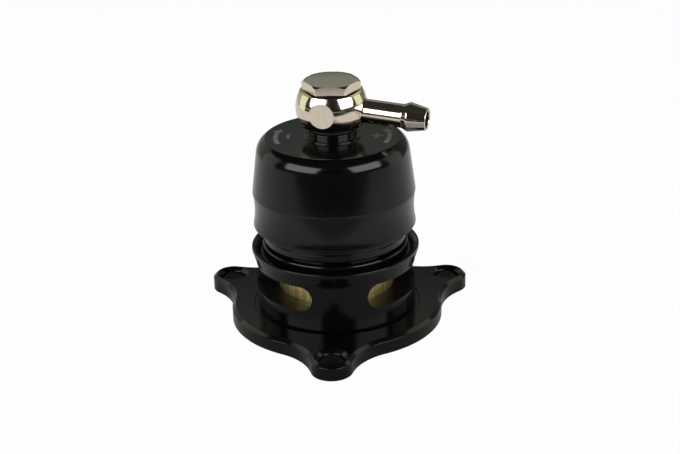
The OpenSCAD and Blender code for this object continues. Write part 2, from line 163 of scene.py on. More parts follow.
@dataclass(frozen=True)
class Finish:
    """One surface finish: its colours, its gloss and the marks that its making leaves.

    The colour runs from low to high with the fine marks, and the roughness with the marks and with broad
    patches such as handling leaves. Spreads are the noise values between which colour and roughness run, and the
    upright marks are drawn out along the axis by the inverse of upright_scale.
    """

    name: str
    slot: str
    low: Colour
    high: Colour
    rough: Pair
    marks_per_metre: float
    patches_per_metre: float
    bump: float
    grain: Grain = Grain.EVEN
    metallic: float = 0.0
    specular: float = 0.5
    colour_spread: Pair = (0.3, 0.7)
    rough_spread: Pair = (0.7, 1.3)
    mark_detail: float = 3.0
    patch_detail: float = 4.0
    mark_depth: float = 0.02
    upright_scale: float = 0.03

    def material(self) -> Material:
        """Gives the finish as a node material, made at its first use.

        Returns:
            The material, shared by every piece with this finish.
        """
        known = bpy.data.materials.get(self.name)
        if known is not None:
            return known
        made = bpy.data.materials.new(self.name)
        made.use_nodes = True
        tree = made.node_tree
        place = add_node(tree, "ShaderNodeTexCoord", {}).outputs["Object"]
        marks = self._noise(tree, self._along_grain(tree, place), self.marks_per_metre, self.mark_detail)
        patches = self._noise(tree, place, self.patches_per_metre, self.patch_detail)
        ramp = add_node(tree, "ShaderNodeValToRGB", {"Fac": marks})
        for step, share, colour in zip(ramp.color_ramp.elements, self.colour_spread, (self.low, self.high)):
            step.position = share
            step.color = (*colour, 1.0)
        both = add_node(tree, "ShaderNodeMath", {0: marks, 1: patches}, "ADD")
        ends = dict(zip(("From Min", "From Max", "To Min", "To Max"), (*self.rough_spread, *self.rough)))
        gloss = add_node(tree, "ShaderNodeMapRange", {"Value": both.outputs["Value"], **ends})
        uneven = {"Strength": self.bump, "Distance": self.mark_depth * MM, "Height": marks}
        relief = add_node(tree, "ShaderNodeBump", uneven)
        look = {
            "Metallic": self.metallic, "Specular IOR Level": self.specular, "Base Color": ramp.outputs["Color"],
            "Roughness": gloss.outputs["Result"], "Normal": relief.outputs["Normal"],
        }
        fill(tree, tree.nodes["Principled BSDF"], look)
        return made

    def _along_grain(self, tree: NodeTree, place: NodeSocket) -> NodeSocket:
        """Turns a place on the piece into one that the marks are drawn on.

        Args:
            tree: Node tree of the material.
            place: Socket with the place on the piece.

        Returns:
            Socket with the place, drawn out along the grain.
        """
        if self.grain is Grain.TURNED:
            apart = add_node(tree, "ShaderNodeSeparateXYZ", {"Vector": place}).outputs
            flat = add_node(tree, "ShaderNodeCombineXYZ", {"X": apart["X"], "Y": apart["Y"]})
            radius = add_node(tree, "ShaderNodeVectorMath", {0: flat.outputs["Vector"]}, "LENGTH")
            ring = add_node(tree, "ShaderNodeCombineXYZ", {"X": radius.outputs["Value"], "Z": apart["Z"]})
            return ring.outputs["Vector"]
        if self.grain is Grain.UPRIGHT:
            drawn = {"Vector": place, "Scale": (1.0, 1.0, self.upright_scale)}
            return add_node(tree, "ShaderNodeMapping", drawn).outputs["Vector"]
        return place

    @staticmethod
    def _noise(tree: NodeTree, place: NodeSocket, scale: float, detail: float) -> NodeSocket:
        """Adds a noise texture.

        Args:
            tree: Node tree of the material.
            place: Socket with the place to read it at.
            scale: Features in a metre.
            detail: Octaves of finer noise.

        Returns:
            Socket with the noise, about 0.5 on average.
        """
        inputs = {"Vector": place, "Scale": scale, "Detail": detail}
        return add_node(tree, "ShaderNodeTexNoise", inputs).outputs["Fac"]


BLACK_ANODISE = Finish(
    name="satin_black_anodise", slot="black_anodised", low=(0.0012, 0.0012, 0.0012), high=(0.0022, 0.0022, 0.0022),
    rough=(0.12, 0.17), grain=Grain.TURNED, marks_per_metre=5200.0, patches_per_metre=120.0, bump=0.05, specular=0.31,
)
MILLED_BLACK = Finish(
    name="milled_black_anodise", slot="black_anodised", low=(0.0012, 0.0012, 0.0012), high=(0.0022, 0.0022, 0.0022),
    rough=(0.4, 0.5), marks_per_metre=2600.0, patches_per_metre=200.0, bump=0.1, specular=0.25,
)
RUBBER = Finish(
    name="seal_rubber", slot="rubber", low=(0.008, 0.008, 0.008), high=(0.016, 0.016, 0.016), rough=(0.42, 0.58),
    marks_per_metre=2600.0, patches_per_metre=260.0, bump=0.25, specular=0.4,
)
GUIDE_PLASTIC = Finish(
    name="guide_band_plastic", slot="guide_plastic", low=(0.60, 0.56, 0.46), high=(0.70, 0.66, 0.56),
    rough=(0.38, 0.5), grain=Grain.TURNED, marks_per_metre=3200.0, patches_per_metre=200.0, bump=0.15,
)
BRUSHED_BRASS = Finish(
    name="brushed_brass", slot="brass", low=(0.42, 0.32, 0.13), high=(0.84, 0.66, 0.3), metallic=1.0,
    rough=(0.3, 0.4), grain=Grain.UPRIGHT, marks_per_metre=1500.0, patches_per_metre=160.0, bump=0.4,
)
SPRING_STEEL = Finish(
    name="drawn_spring_steel", slot="spring_steel", low=(0.40, 0.41, 0.42), high=(0.55, 0.56, 0.57), metallic=1.0,
    rough=(0.22, 0.34), marks_per_metre=2400.0, patches_per_metre=300.0, bump=0.2,
)
NICKEL = Finish(
    name="polished_nickel", slot="nickel", low=(0.76, 0.655, 0.54), high=(0.84, 0.73, 0.605), metallic=1.0,
    rough=(0.09, 0.15), marks_per_metre=900.0, patches_per_metre=240.0, bump=0.05,
)
ETCHED_MARK = Finish(
    name="etched_mark", slot="black_anodised", low=(0.12, 0.12, 0.12), high=(0.2, 0.2, 0.2), rough=(0.5, 0.65),
    marks_per_metre=3800.0, patches_per_metre=400.0, bump=0.2,
)


def clear_selection() -> None:
    """Leaves edit mode and deselects every object."""
    if bpy.context.mode != "OBJECT":
        bpy.ops.object.mode_set(mode="OBJECT")
    bpy.ops.object.select_all(action="DESELECT")


def pick(piece: Object) -> None:
    """Selects one object alone and makes it the active one."""
    clear_selection()
    piece.select_set(True)
    bpy.context.view_layer.objects.active = piece


@contextmanager
def editing(piece: Object) -> Iterator[None]:
    """Keeps a piece in edit mode, at first with all of it selected.

    Args:
        piece: Object to edit.
    """
    pick(piece)
    bpy.ops.object.mode_set(mode="EDIT")
    bpy.ops.mesh.select_all(action="SELECT")
    yield
    bpy.ops.object.mode_set(mode="OBJECT")


def ring_section(radii: Pair, heights: Pair, softs: Sequence[float]) -> list[Corner]:
    """Lays out the square section of a ring.

    Args:
        radii: Inner and outer radius.
        heights: Lower and upper height.
        softs: How far each corner is softened, anticlockwise from the lower inner one.

    Returns:
        The four corners.
    """
    (inner, outer), (low, high) = radii, heights
    places = ((inner, low), (outer, low), (outer, high), (inner, high))
    return [(r, z, soft) for (r, z), soft in zip(places, softs)]


def arc(
    centre: Pair, radius: float, start: float, end: float, steps: int = 12, softs: Pair = (0.0, 0.0)
) -> list[Corner]:
    """Lays points on an arc of a section.

    Args:
        centre: Radius and height of the arc's centre.
        radius: Radius of the arc.
        start: Angle of the first point above the outward direction, in degrees.
        end: Angle of the last point.
        steps: Number of steps between them.
        softs: How far the first and the last point are softened.

    Returns:
        The arc's points as corners.
    """
    turns = [math.radians(start + (end - start) * i / steps) for i in range(steps + 1)]
    between = [0.0] * (steps - 1)
    return [
        (centre[0] + radius * math.cos(t), centre[1] + radius * math.sin(t), soft)
        for t, soft in zip(turns, (softs[0], *between, softs[1]))
    ]


def soften(corners: Sequence[Corner], closed: bool) -> list[Vector]:
    """Rounds the corners of a section.

    Args:
        corners: Corners in order, with the softness of each.
        closed: True if the last corner goes on to the first.

    Returns:
        Points of the section in the XZ plane.
    """
    points = [Vector((r, 0.0, z)) for r, z, _ in corners]
    drawn: list[Vector] = []
    for i, (_, _, soft) in enumerate(corners):
        here = points[i]
        at_end = not closed and i in (0, len(corners) - 1)
        if soft <= 0.0 or at_end:
            drawn.append(here)
            continue
        back, ahead = points[i - 1] - here, points[(i + 1) % len(points)] - here
        start = here + back.normalized() * min(soft, ROUND_SHARE * back.length)
        end = here + ahead.normalized() * min(soft, ROUND_SHARE * ahead.length)
        for t in (0.0, 0.25, 0.5, 0.75, 1.0):
            drawn.append(start * (1 - t) ** 2 + here * 2 * t * (1 - t) + end * t ** 2)
    return drawn


def draw_chain(name: str, points: Sequence[Vector], closed: bool) -> Object:
    """Draws a chain of edges through points, one extruded vertex after another.

    Args:
        name: Name of the new object.
        points: Points of the chain, in millimetres.
        closed: True if the chain comes back to its first point.

    Returns:
        The object, left in edit mode with all of it selected.
    """
    clear_selection()
    bpy.ops.mesh.primitive_plane_add(size=1.0, location=(0.0, 0.0, 0.0))
    chain = bpy.context.object
    chain.name = chain.data.name = name
    bpy.ops.object.mode_set(mode="EDIT")
    bpy.ops.mesh.select_mode(type="VERT")
    bpy.ops.mesh.select_all(action="SELECT")
    bpy.ops.mesh.merge(type="CENTER")
    bpy.ops.transform.translate(value=points[0])
    for here, there in pairwise([*points, points[0]] if closed else points):
        bpy.ops.mesh.extrude_vertices_move(TRANSFORM_OT_translate={"value": there - here})
    bpy.ops.mesh.select_all(action="SELECT")
    bpy.ops.mesh.remove_doubles(threshold=WELD)
    return chain


def turn(
    name: str, corners: Sequence[Corner], axis: Vector = UP, steps: int = STEPS, sweep: float = 360.0
) -> Object:
    """Turns a section about an axis through the origin, as on a lathe.

    Args:
        name: Name of the new object.
        corners: Section of the piece; it starts and ends on the axis or stays clear of it.
        axis: Axis to turn about, upright or along +X.
        steps: Steps of the turn.
        sweep: Angle of the turn in degrees.

    Returns:
        The closed solid, in object mode.
    """
    closed = corners[0][0] > 0.0
    points = soften(corners, closed)
    if axis != UP:
        points = [Vector((p.z, 0.0, p.x)) for p in points]
    solid = draw_chain(name, points, closed)
    bpy.ops.mesh.spin(steps=steps, angle=math.radians(sweep), center=(0.0, 0.0, 0.0), axis=axis)
    bpy.ops.mesh.select_all(action="SELECT")
    bpy.ops.mesh.remove_doubles(threshold=WELD)
    if sweep < 360.0:
        bpy.ops.mesh.fill_holes(sides=0)
    bpy.ops.mesh.select_all(action="SELECT")
    bpy.ops.mesh.normals_make_consistent()
    bpy.ops.object.mode_set(mode="OBJECT")
    return solid


def plate(name: str, outline: Sequence[Vector], height: float) -> Object:
    """Fills an outline and draws it up into a plate.

    Args:
        name: Name of the new object.
        outline: Points of the outline, in order.
        height: Height of the plate.

    Returns:
        The plate, left in edit mode with its upper face selected.
    """
    made = draw_chain(name, outline, closed=True)
    bpy.ops.mesh.edge_face_add()
    bpy.ops.mesh.extrude_region_move(TRANSFORM_OT_translate={"value": (0.0, 0.0, height)})
    bpy.ops.mesh.select_all(action="SELECT")
    bpy.ops.mesh.normals_make_consistent()
    select_faces(made, lambda face: face.normal.z > LEVEL)
    return made


def select_faces(piece: Object, wanted: Callable[[bmesh.types.BMFace], bool]) -> None:
    """Selects faces of a piece in edit mode, and nothing else.

    Args:
        piece: Object in edit mode.
        wanted: Says whether a face is selected.
    """
    bpy.ops.mesh.select_mode(type="FACE")
    bpy.ops.mesh.select_all(action="DESELECT")
    mesh = bmesh.from_edit_mesh(piece.data)
    mesh.normal_update()
    for face in mesh.faces:
        face.select_set(wanted(face))
    bmesh.update_edit_mesh(piece.data)


def break_edges(piece: Object, wanted: Callable[[Vector, Vector], bool], width: float) -> None:
    """Rounds the sharp edges of a piece as a deburring tool does.

    Args:
        piece: Object in object mode.
        wanted: Says whether the edge between two points is rounded.
        width: Width of the rounding.
    """
    with editing(piece):
        bpy.ops.mesh.select_mode(type="EDGE")
        bpy.ops.mesh.select_all(action="DESELECT")
        mesh = bmesh.from_edit_mesh(piece.data)
        mesh.normal_update()
        for edge in mesh.edges:
            sharp = len(edge.link_faces) == 2 and edge.calc_face_angle() > SHARP
            edge.select_set(sharp and wanted(edge.verts[0].co, edge.verts[1].co))
        bmesh.update_edit_mesh(piece.data)
        bpy.ops.mesh.bevel(offset=width, segments=3, affect="EDGES", clamp_overlap=True)


def join_with(piece: Object, tool: Object, way: Joinery) -> None:
    """Acts on a piece with a second solid, which is used up.

    Args:
        piece: Solid that stays.
        tool: Solid that acts on it.
        way: Cut, weld or keep what both share.
    """
    pick(piece)
    carve = piece.modifiers.new("joinery", "BOOLEAN")
    carve.operation = way.value
    carve.solver = "EXACT"
    carve.object = tool
    bpy.ops.object.modifier_apply(modifier=carve.name)
    pick(tool)
    bpy.ops.object.delete()


def dowel(name: str, radius: float, length: float, middle: Vector, along: Vector) -> Object:
    """Makes a round cutter.

    Args:
        name: Name of the new object.
        radius: Radius of the cutter.
        length: Length of the cutter.
        middle: Middle of the cutter.
        along: Direction of its axis.

    Returns:
        The cutter.
    """
    clear_selection()
    bpy.ops.mesh.primitive_cylinder_add(
        vertices=72, radius=radius, depth=length, location=middle, rotation=UP.rotation_difference(along).to_euler()
    )
    bpy.context.object.name = name
    return bpy.context.object


def set_in_place(piece: Object, turned: float = 0.0, height: float = 0.0, lean: float = 0.0) -> None:
    """Leans a piece, turns it about the upright axis, lifts it and puts its place into its mesh.

    Args:
        piece: Piece that was modelled about the origin.
        turned: Angle about the upright axis in degrees.
        height: Lift in millimetres.
        lean: Angle in degrees by which its +X side goes down first.
    """
    pick(piece)
    piece.rotation_euler = (0.0, math.radians(lean), math.radians(turned))
    piece.location = (0.0, 0.0, height)
    bpy.ops.object.transform_apply()


def dress(piece: Object, finish: Finish, rides: Rides, node: str | None = None) -> None:
    """Brings a modelled piece to metres, smooths it, gives it its finish and hangs it on its body.

    Args:
        piece: Closed solid in millimetres, in place.
        finish: Finish of its surface.
        rides: Body that it moves with.
        node: CAD node that it stands for, if any.
    """
    with editing(piece):
        bpy.ops.mesh.remove_doubles(threshold=SLIVER)
    piece.scale = (MM, MM, MM)
    bpy.ops.object.transform_apply()
    bpy.ops.object.shade_smooth_by_angle(angle=SHARP)
    even = piece.modifiers.new("even_normals", "WEIGHTED_NORMAL")
    even.keep_sharp = True
    bpy.ops.object.modifier_apply(modifier=even.name)
    piece.data.materials.clear()
    piece.data.materials.append(finish.material())
    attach(piece, rides.value)
    if node is not None:
        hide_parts(node)
    log.info("%s: %d faces, %s, on %s", piece.name, len(piece.data.polygons), finish.name, rides.value)


@dataclass
class RoundSeal:
    """Moulded rubber ring of round section with a fine parting line inside and out."""

    name: str
    node: str
    mean_r: float
    thick: float
    height: float
    rides: Rides
    parting: float = 0.02
    parting_turn: float = 8.0
    arc_steps: int = 14

    def build(self) -> None:
        """Models and dresses the ring."""
        middle, half, turned = (self.mean_r, self.height), self.thick / 2, self.parting_turn
        section = arc(middle, half, turned, 180.0 - turned, self.arc_steps)
        section.append((self.mean_r - half - self.parting, self.height, 0.0))
        section += arc(middle, half, 180.0 + turned, 360.0 - turned, self.arc_steps)
        section.append((self.mean_r + half + self.parting, self.height, 0.0))
        dress(turn(self.name, section, steps=96), RUBBER, self.rides, self.node)


@dataclass
class MountingFlange:
    """Black plate with a round middle, three lugs with chamfered bolt holes and a groove for its seal."""

    thick: float = 4.5
    disc_r: float = 28.7
    bolt_circle_r: float = 35.0
    lug_r: float = 5.5
    blend_r: float = 17.0
    hole_r: float = 3.3
    hole_chamfer: float = 1.0
    hole_under: float = 0.4
    mouth_soft: float = 0.08
    mouth_run: float = 0.12
    mouth_dip: float = 0.01
    cutter_rise: float = 0.3
    chamfer: float = 0.9
    edge_soft: float = 0.14
    low_round: tuple[Pair, Pair] = ((0.06, 0.5), (0.32, 0.5))
    high_round: tuple[Pair, Pair] = ((0.5, 0.55), (0.7, 0.25))
    round_loss: float = 0.8
    under_break: float = 0.2
    bore_r: float = 17.55
    bore_under: float = 0.3
    recess_r: float = 22.5
    recess_z: float = 4.2
    recess_soft: float = 0.12
    recess_run: float = 0.14
    recess_flare: float = 1.2
    seal_mean_r: float = 23.0
    seal_half: float = 1.1
    seal_depth: float = 2.03
    lugs: int = 3

    def outline(self) -> list[Vector]:
        """Lays out the plate's outline, lug after lug, anticlockwise from above.

        Returns:
            Points of the outline.
        """
        to_disc, to_lug = self.disc_r + self.blend_r, self.lug_r + self.blend_r
        x = (to_disc ** 2 + self.bolt_circle_r ** 2 - to_lug ** 2) / (2 * self.bolt_circle_r)
        y = math.sqrt(to_disc ** 2 - x ** 2)
        at_disc = math.degrees(math.atan2(y, x))
        at_lug = math.degrees(math.atan2(y, x - self.bolt_circle_r))
        one_lug = arc((x, -y), self.blend_r, 180.0 - at_disc, 180.0 - at_lug)
        one_lug += arc((self.bolt_circle_r, 0.0), self.lug_r, -at_lug, at_lug, steps=28)[1:]
        one_lug += arc((x, y), self.blend_r, 180.0 + at_lug, 180.0 + at_disc)[1:]
        one_lug += arc((0.0, 0.0), self.disc_r, at_disc, 360.0 / self.lugs - at_disc, steps=28)[1:-1]
        points: list[Vector] = []
        for i in range(self.lugs):
            spun = Matrix.Rotation(math.radians(-90.0 + i * 360.0 / self.lugs), 3, "Z")
            points += [spun @ Vector((px, py, self.under_break)) for px, py, _ in one_lug]
        return points

    def edge_steps(self) -> list[Pair]:
        """Lays out the chamfer around the top, with its two edges softened.

        Returns:
            How far each step goes in and up, from the plate's side.
        """
        soft = self.edge_soft
        flat = self.chamfer - self.round_loss * soft
        low, high = ([(x * soft, z * soft) for x, z in part] for part in (self.low_round, self.high_round))
        return [*low, (flat, flat), *high]

    def bolt_hole(self, number: int) -> Object:
        """Makes the cutter of one bolt hole, chamfered at the mouth.

        Args:
            number: Number of the lug, from the one at -Y.

        Returns:
            The cutter in place.
        """
        mouth_r, start_z = self.hole_r + self.hole_chamfer, self.thick - self.hole_chamfer
        above = self.thick + self.cutter_rise
        cutter = turn(
            "bolt_hole",
            [
                (0.0, -PAST, 0.0),
                (self.hole_r + self.hole_under + PAST, -PAST, 0.0),
                (self.hole_r, self.hole_under, 0.12),
                (self.hole_r, start_z, 0.15),
                (mouth_r - self.mouth_soft, self.thick - self.mouth_soft, 0.05),
                (mouth_r + self.mouth_run, self.thick - self.mouth_dip, 0.04),
                (mouth_r + PAST, above, 0.0),
                (0.0, above, 0.0),
            ],
            steps=72,
        )
        angle = math.radians(-90.0 + number * 360.0 / self.lugs)
        cutter.location = (self.bolt_circle_r * math.cos(angle), self.bolt_circle_r * math.sin(angle), 0.0)
        return cutter

    def build(self) -> None:
        """Models and dresses the plate."""
        made = plate("flange_plate", self.outline(), self.thick - self.chamfer - self.edge_soft - self.under_break)
        for width, rise in self.edge_steps():
            bpy.ops.mesh.inset(thickness=width, depth=rise, use_even_offset=True)
        select_faces(made, lambda face: face.normal.z < -LEVEL)
        bpy.ops.mesh.inset(thickness=self.under_break, depth=self.under_break, use_even_offset=True)
        bpy.ops.object.mode_set(mode="OBJECT")
        above = self.thick + self.cutter_rise
        bore = turn(
            "bore",
            [
                (0.0, -PAST, 0.0),
                (self.bore_r + self.bore_under + PAST, -PAST, 0.0),
                (self.bore_r, self.bore_under, 0.08),
                (self.bore_r, self.recess_z, 0.0),
                (self.recess_r, self.recess_z, 0.05),
                (self.recess_r, self.thick - self.recess_soft, 0.05),
                (self.recess_r + self.recess_run, self.thick - self.mouth_dip, 0.03),
                (self.recess_r + self.recess_flare, above, 0.0),
                (0.0, above, 0.0),
            ],
        )
        join_with(made, bore, Joinery.CUT)
        walls = (self.seal_mean_r - self.seal_half, self.seal_mean_r + self.seal_half)
        groove = ring_section(walls, (-PAST, self.seal_depth), (0.0, 0.0, 0.1, 0.1))
        join_with(made, turn("seal_groove", groove), Joinery.CUT)
        for number in range(self.lugs):
            join_with(made, self.bolt_hole(number), Joinery.CUT)
        dress(made, BLACK_ANODISE, Rides.BODY, "mounting_flange")


@dataclass
class ValveBody:
    """Turned black body: spigot, drum with three vent slots, flared lip, shoulder and threaded neck."""

    port_r: float = 12.5
    spigot_r: float = 17.5
    spigot_z: float = 0.2
    foot_z: float = 4.2
    foot_break: float = 0.35
    drum_r: float = 21.55
    flare_z: float = 17.3
    lip_r: float = 22.6
    rim_r: float = 22.05
    lip_low_z: float = 20.5
    lip_z: float = 21.4
    channel_z: float = 19.55
    channel_floor: float = 0.55
    shoulder_r: float = 19.7
    shoulder_z: float = 22.6
    neck_r: float = 18.0
    neck_z: float = 35.6
    bore_r: float = 15.55
    seat_z: float = 6.0
    vent_low_z: float = 10.1
    vent_high_z: float = 16.9
    vent_middles: tuple[float, float, float] = (-25.0, 95.0, 215.0)
    vent_half: float = 40.0
    vent_play: float = 0.004
    rim_break: float = 0.18
    rim_near: Pair = (0.03, 0.1)
    wall_near: float = 0.05
    thread_low_z: float = 23.6
    thread_pitch: float = 1.5
    thread_depth: float = 0.5
    thread_shares: tuple[float, float, float] = (0.4, 0.5, 0.9)
    threads: int = 5
    spigot_groove: Groove = (15.99, 1.35, 3.05)
    neck_groove: Groove = (16.54, 31.75, 33.45)

    @staticmethod
    def ring_groove(outer_r: float, groove: Groove) -> list[Corner]:
        """Lays out a square groove in a turned outside, from below.

        Args:
            outer_r: Radius of the outside.
            groove: Radius of its floor and its lower and upper height.

        Returns:
            Corners of the groove.
        """
        floor_r, low, high = groove
        return [(outer_r, low, 0.1), (floor_r, low, 0.12), (floor_r, high, 0.12), (outer_r, high, 0.1)]

    def thread(self) -> list[Corner]:
        """Lays out the crests and roots of the neck's thread, from below.

        Returns:
            Corners of the thread.
        """
        made: list[Corner] = []
        for i in range(self.threads):
            low = self.thread_low_z + i * self.thread_pitch
            root_r = self.neck_r - self.thread_depth
            fall, rise, crest = (low + share * self.thread_pitch for share in self.thread_shares)
            made += [(self.neck_r, low, 0.05), (root_r, fall, 0.08), (root_r, rise, 0.08), (self.neck_r, crest, 0.05)]
        return made

    def section(self) -> list[Corner]:
        """Lays out the body's section, up the outside and down the bore.

        Returns:
            Corners of the section.
        """
        return [
            (self.port_r, self.spigot_z, 0.3),
            (self.spigot_r, self.spigot_z, 0.3),
            *self.ring_groove(self.spigot_r, self.spigot_groove),
            (self.spigot_r, self.foot_z, 0.0),
            (self.drum_r - self.foot_break, self.foot_z, 0.05),
            (self.drum_r, self.foot_z + self.foot_break, 0.12),
            (self.drum_r, self.flare_z, 0.5),
            (self.lip_r, self.lip_low_z, 0.18),
            (self.lip_r, self.lip_z, 0.32),
            (self.rim_r, self.lip_z, 0.2),
            (self.shoulder_r + self.channel_floor, self.channel_z, 0.2),
            (self.shoulder_r, self.channel_z, 0.2),
            (self.shoulder_r, self.shoulder_z, 0.7),
            (self.neck_r, self.shoulder_z, 0.1),
            *self.thread(),
            *self.ring_groove(self.neck_r, self.neck_groove),
            (self.neck_r, self.neck_z, 0.3),
            (self.bore_r, self.neck_z, 0.3),
            (self.bore_r, self.seat_z, 0.1),
            (self.port_r, self.seat_z, 0.1),
        ]

    def cut_vent(self, made: Object, middle: float) -> None:
        """Mills one vent slot with full round ends.

        Args:
            made: Body to cut.
            middle: Direction of the slot's middle in degrees.
        """
        half_h = (self.vent_high_z - self.vent_low_z) / 2
        mid_z = (self.vent_high_z + self.vent_low_z) / 2
        end_turn = self.vent_half - math.degrees(math.asin(half_h / self.drum_r))
        reach = self.lip_r + PAST
        heights = (self.vent_low_z + self.vent_play, self.vent_high_z - self.vent_play)
        section = ring_section((self.port_r, reach), heights, [0.0] * 4)
        sector = turn("vent_sector", section, steps=48, sweep=2 * end_turn)
        set_in_place(sector, turned=middle + end_turn)
        join_with(made, sector, Joinery.CUT)
        for end in (middle - end_turn, middle + end_turn):
            along = Vector((math.cos(math.radians(end)), math.sin(math.radians(end)), 0.0))
            centre = along * (self.port_r + reach) / 2 + Vector((0.0, 0.0, mid_z))
            join_with(made, dowel("vent_end", half_h, reach - self.port_r, centre, along), Joinery.CUT)

    def on_vent_rim(self, a: Vector, b: Vector) -> bool:
        """Says whether an edge is on the outer rim of a vent slot."""
        aside, above = self.rim_near
        heights = self.vent_low_z - above < min(a.z, b.z) and max(a.z, b.z) < self.vent_high_z + above
        return heights and all(abs(p.xy.length - self.drum_r) < aside for p in (a, b))

    def in_vent(self, place: Vector) -> bool:
        """Says whether a place is on the milled wall of a vent slot."""
        near = self.wall_near
        between = self.bore_r + near < place.xy.length < self.drum_r - near
        return between and self.vent_low_z - near < place.z < self.vent_high_z + near

    def shell(self) -> None:
        """Models and dresses the body, with a duller finish where it was milled."""
        made = turn("body_shell", self.section())
        for middle in self.vent_middles:
            self.cut_vent(made, middle)
        break_edges(made, self.on_vent_rim, self.rim_break)
        dress(made, BLACK_ANODISE, Rides.BODY, "valve_body")
        made.data.materials.append(MILLED_BLACK.material())
        for face in made.data.polygons:
            face.material_index = int(self.in_vent(face.center / MM))

    def build(self) -> None:
        """Models and dresses the body and the three seals on it."""
        self.shell()
        RoundSeal("flange_face_seal", "base_seal", mean_r=23.0, thick=2.0, height=1.015, rides=Rides.BODY).build()
        RoundSeal("spigot_seal", "body_seal", mean_r=16.77, thick=1.5, height=2.2, rides=Rides.BODY).build()
        RoundSeal("neck_seal", "cap_seal", mean_r=17.32, thick=1.5, height=32.6, rides=Rides.BODY).build()


@dataclass
class PistonSet:
    """Brass cup that closes the vents, with its sliding seal, guide band and seat ring."""

    outer_r: float = 15.5
    inner_r: float = 12.9
    nose_r: float = 13.34
    nose_z: float = 6.3
    step_z: float = 7.5
    floor_z: float = 9.4
    top_z: float = 26.0
    seal_groove: Groove = (13.99, 18.75, 20.45)
    guide_groove: Groove = (14.49, 21.65, 24.35)
    guide_r: Pair = (14.52, 15.52)
    guide_z: Pair = (21.75, 24.25)
    guide_gap: float = 3.0
    ring_r: Pair = (13.37, 15.47)
    ring_z: Pair = (6.0, 7.5)

    def cup(self) -> None:
        """Models and dresses the brass cup."""
        section: list[Corner] = [
            (0.0, self.nose_z, 0.0),
            (self.nose_r, self.nose_z, 0.25),
            (self.nose_r, self.step_z, 0.1),
            (self.outer_r, self.step_z, 0.15),
            *ValveBody.ring_groove(self.outer_r, self.seal_groove),
            *ValveBody.ring_groove(self.outer_r, self.guide_groove),
            (self.outer_r, self.top_z, 0.3),
            (self.inner_r, self.top_z, 0.2),
            (self.inner_r, self.floor_z, 0.5),
            (0.0, self.floor_z, 0.0),
        ]
        dress(turn("piston_cup", section), BRUSHED_BRASS, Rides.PISTON, "piston")

    def band(self) -> None:
        """Models and dresses the split guide band."""
        section = ring_section(self.guide_r, self.guide_z, [0.12] * 4)
        made = turn("guide_band", section, steps=120, sweep=360.0 - self.guide_gap)
        dress(made, GUIDE_PLASTIC, Rides.PISTON, "guide_ring")

    def seat_ring(self) -> None:
        """Models and dresses the flat ring that closes on the valve seat."""
        section = ring_section(self.ring_r, self.ring_z, (0.2, 0.35, 0.1, 0.1))
        dress(turn("seat_ring", section, steps=120), RUBBER, Rides.PISTON, "seat_seal")

    def build(self) -> None:
        """Models and dresses the piston and what it carries."""
        self.cup()
        RoundSeal("sliding_seal", "piston_seal", mean_r=14.77, thick=1.5, height=19.6, rides=Rides.PISTON).build()
        self.band()
        self.seat_ring()


@dataclass
class ReturnSpring:
    """Coil spring with closed ends under a loose seat, drawn at one length; the real one shortens as the piston
    lifts.

    It starts half a millimetre above the piston's floor, which is how far the seat comes down with the cap.
    """

    wire_r: float = 0.9
    coil_r: float = 10.25
    low_z: float = 9.95
    high_z: float = 46.25
    closed_rise: float = 1.98
    working_turns: int = 6
    seam: float = 0.01
    lift: float = 10.5
    seat_r: float = 12.05
    seat_spigot_r: float = 9.15
    seat_bore_r: float = 5.0
    seat_z: tuple[float, float, float] = (44.9, 46.3, 47.5)

    def coil(self, name: str, start_z: float, rise: float, turns: int) -> Object:
        """Winds whole turns of the wire.

        Args:
            name: Name of the new object.
            start_z: Height of the wire's middle at the start.
            rise: Rise of one turn.
            turns: Number of turns.

        Returns:
            The open tube of wire.
        """
        clear_selection()
        bpy.ops.mesh.primitive_circle_add(
            vertices=16, radius=self.wire_r, location=(self.coil_r, 0.0, start_z), rotation=(math.pi / 2, 0.0, 0.0)
        )
        wound = bpy.context.object
        wound.name = name
        bpy.ops.object.transform_apply()
        screw = wound.modifiers.new("wind", "SCREW")
        screw.axis = "Z"
        screw.angle = math.tau
        screw.screw_offset = rise
        screw.iterations = turns
        screw.steps = screw.render_steps = 48
        bpy.ops.object.modifier_apply(modifier=screw.name)
        return wound

    def wire(self) -> None:
        """Models and dresses the spring."""
        first_z = self.low_z + self.wire_r
        last_z = self.high_z - self.wire_r - self.closed_rise
        pitch = (last_z - first_z - self.closed_rise) / self.working_turns
        lower = self.coil("return_spring", first_z, self.closed_rise, 1)
        middle = self.coil("working_coils", first_z + self.closed_rise, pitch, self.working_turns)
        upper = self.coil("upper_coil", last_z, self.closed_rise, 1)
        pick(lower)
        middle.select_set(True)
        upper.select_set(True)
        bpy.ops.object.join()
        with editing(lower):
            bpy.ops.mesh.remove_doubles(threshold=self.seam)
            bpy.ops.mesh.fill_holes(sides=0)
            bpy.ops.mesh.select_all(action="SELECT")
            bpy.ops.mesh.normals_make_consistent()
        dress(lower, SPRING_STEEL, Rides.SPRING_SEAT, "spring")
        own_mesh(lower)

    def loose_seat(self) -> None:
        """Models and dresses the seat above the spring."""
        rim_z, low, high = self.seat_z
        corners = [
            (self.seat_bore_r, rim_z, 0.2),
            (self.seat_spigot_r, rim_z, 0.4),
            (self.seat_spigot_r, low, 0.1),
            (self.seat_r, low, 0.2),
            (self.seat_r, high, 0.2),
            (self.seat_bore_r, high, 0.2),
        ]
        dress(turn("loose_seat", corners, steps=96), SPRING_STEEL, Rides.SPRING_SEAT, "spring_seat")

    def build(self) -> None:
        """Models and dresses the spring and its seat."""
        self.wire()
        self.loose_seat()


